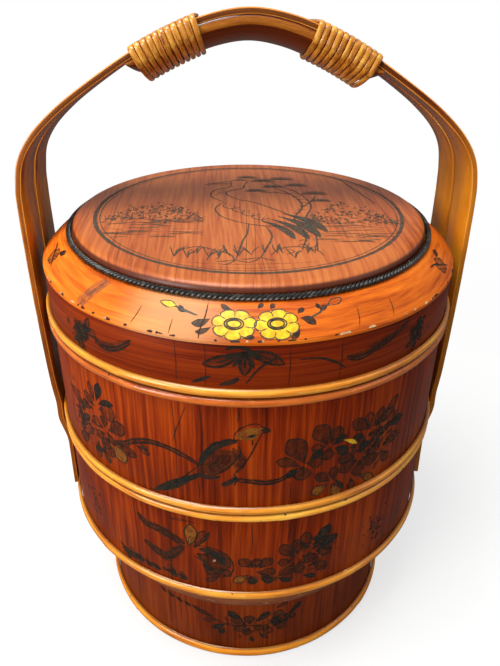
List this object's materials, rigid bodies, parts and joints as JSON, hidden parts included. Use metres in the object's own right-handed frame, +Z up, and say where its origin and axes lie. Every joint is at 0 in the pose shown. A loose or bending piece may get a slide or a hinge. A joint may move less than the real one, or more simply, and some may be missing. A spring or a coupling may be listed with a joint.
{
  "type": "tiered food basket",
  "caption": "Round lacquered bamboo food carrier: footed lower tier, lift-off middle tier and domed lid under a tall twin-strap handle with rattan bindings.",
  "frame": {"origin": "on the floor under the middle of the foot", "axes": "+Z up, the painted front faces -Y, the handle spans X"},
  "size_m": [0.3368, 0.32, 0.5011],
  "materials": {
    "foot_wall": "dark red-brown lacquer on bamboo, satin",
    "tier_wall": "orange-brown lacquer on upright bamboo grain, satin",
    "lid_wall": "red-brown lacquer on bamboo, satin",
    "lid_shoulder": "light orange-tan lacquer, satin",
    "lid_panel": "reddish orange lacquer with streaky grain, satin",
    "hoop": "golden split bamboo, glossy lacquer",
    "plain_board": "plain unpolished wood",
    "cord": "black twisted cord",
    "handle_strip": "brown bamboo, worn lacquer",
    "handle_grip": "dark brown bamboo, worn lacquer",
    "rattan": "golden rattan cane, varnished",
    "peg": "brown bamboo peg"
  },
  "bodies": {
    "base": {"foot_wall": "foot_wall", "foot_bottom_hoop": "hoop", "foot_collar_hoop": "hoop", "lower_tier_wall": "tier_wall", "lower_tier_bottom_hoop": "hoop", "lower_tier_top_hoop": "hoop", "lower_tier_floor": "plain_board", "lower_tier_collar": "plain_board", "handle_strip_front": "handle_strip", "handle_strip_rear": "handle_strip", "handle_grip": "handle_grip", "handle_binding_left": "rattan", "handle_binding_right": "rattan", "peg_left_front_lower": "peg", "peg_left_front_upper": "peg", "peg_left_rear_lower": "peg", "peg_left_rear_upper": "peg", "peg_right_front_lower": "peg", "peg_right_front_upper": "peg", "peg_right_rear_lower": "peg", "peg_right_rear_upper": "peg"},
    "middle_tier": {"middle_tier_wall": "tier_wall", "middle_tier_bottom_hoop": "hoop", "middle_tier_top_hoop": "hoop", "middle_tier_floor_bearer": "plain_board", "middle_tier_floor": "plain_board", "middle_tier_collar": "plain_board"},
    "lid": {"lid_wall": "lid_wall", "lid_bottom_hoop": "hoop", "lid_shoulder": "lid_shoulder", "lid_panel": "lid_panel", "lid_cord": "cord"}
  },
  "joints": [
    {"name": "middle_tier_lift", "type": "slide", "parent": "base", "child": "middle_tier", "axis": [0, 0, 1], "range_m": [0, 0.02]},
    {"name": "lid_lift", "type": "slide", "parent": "middle_tier", "child": "lid", "axis": [0, 0, 1], "range_m": [0, 0.03]}
  ]
}
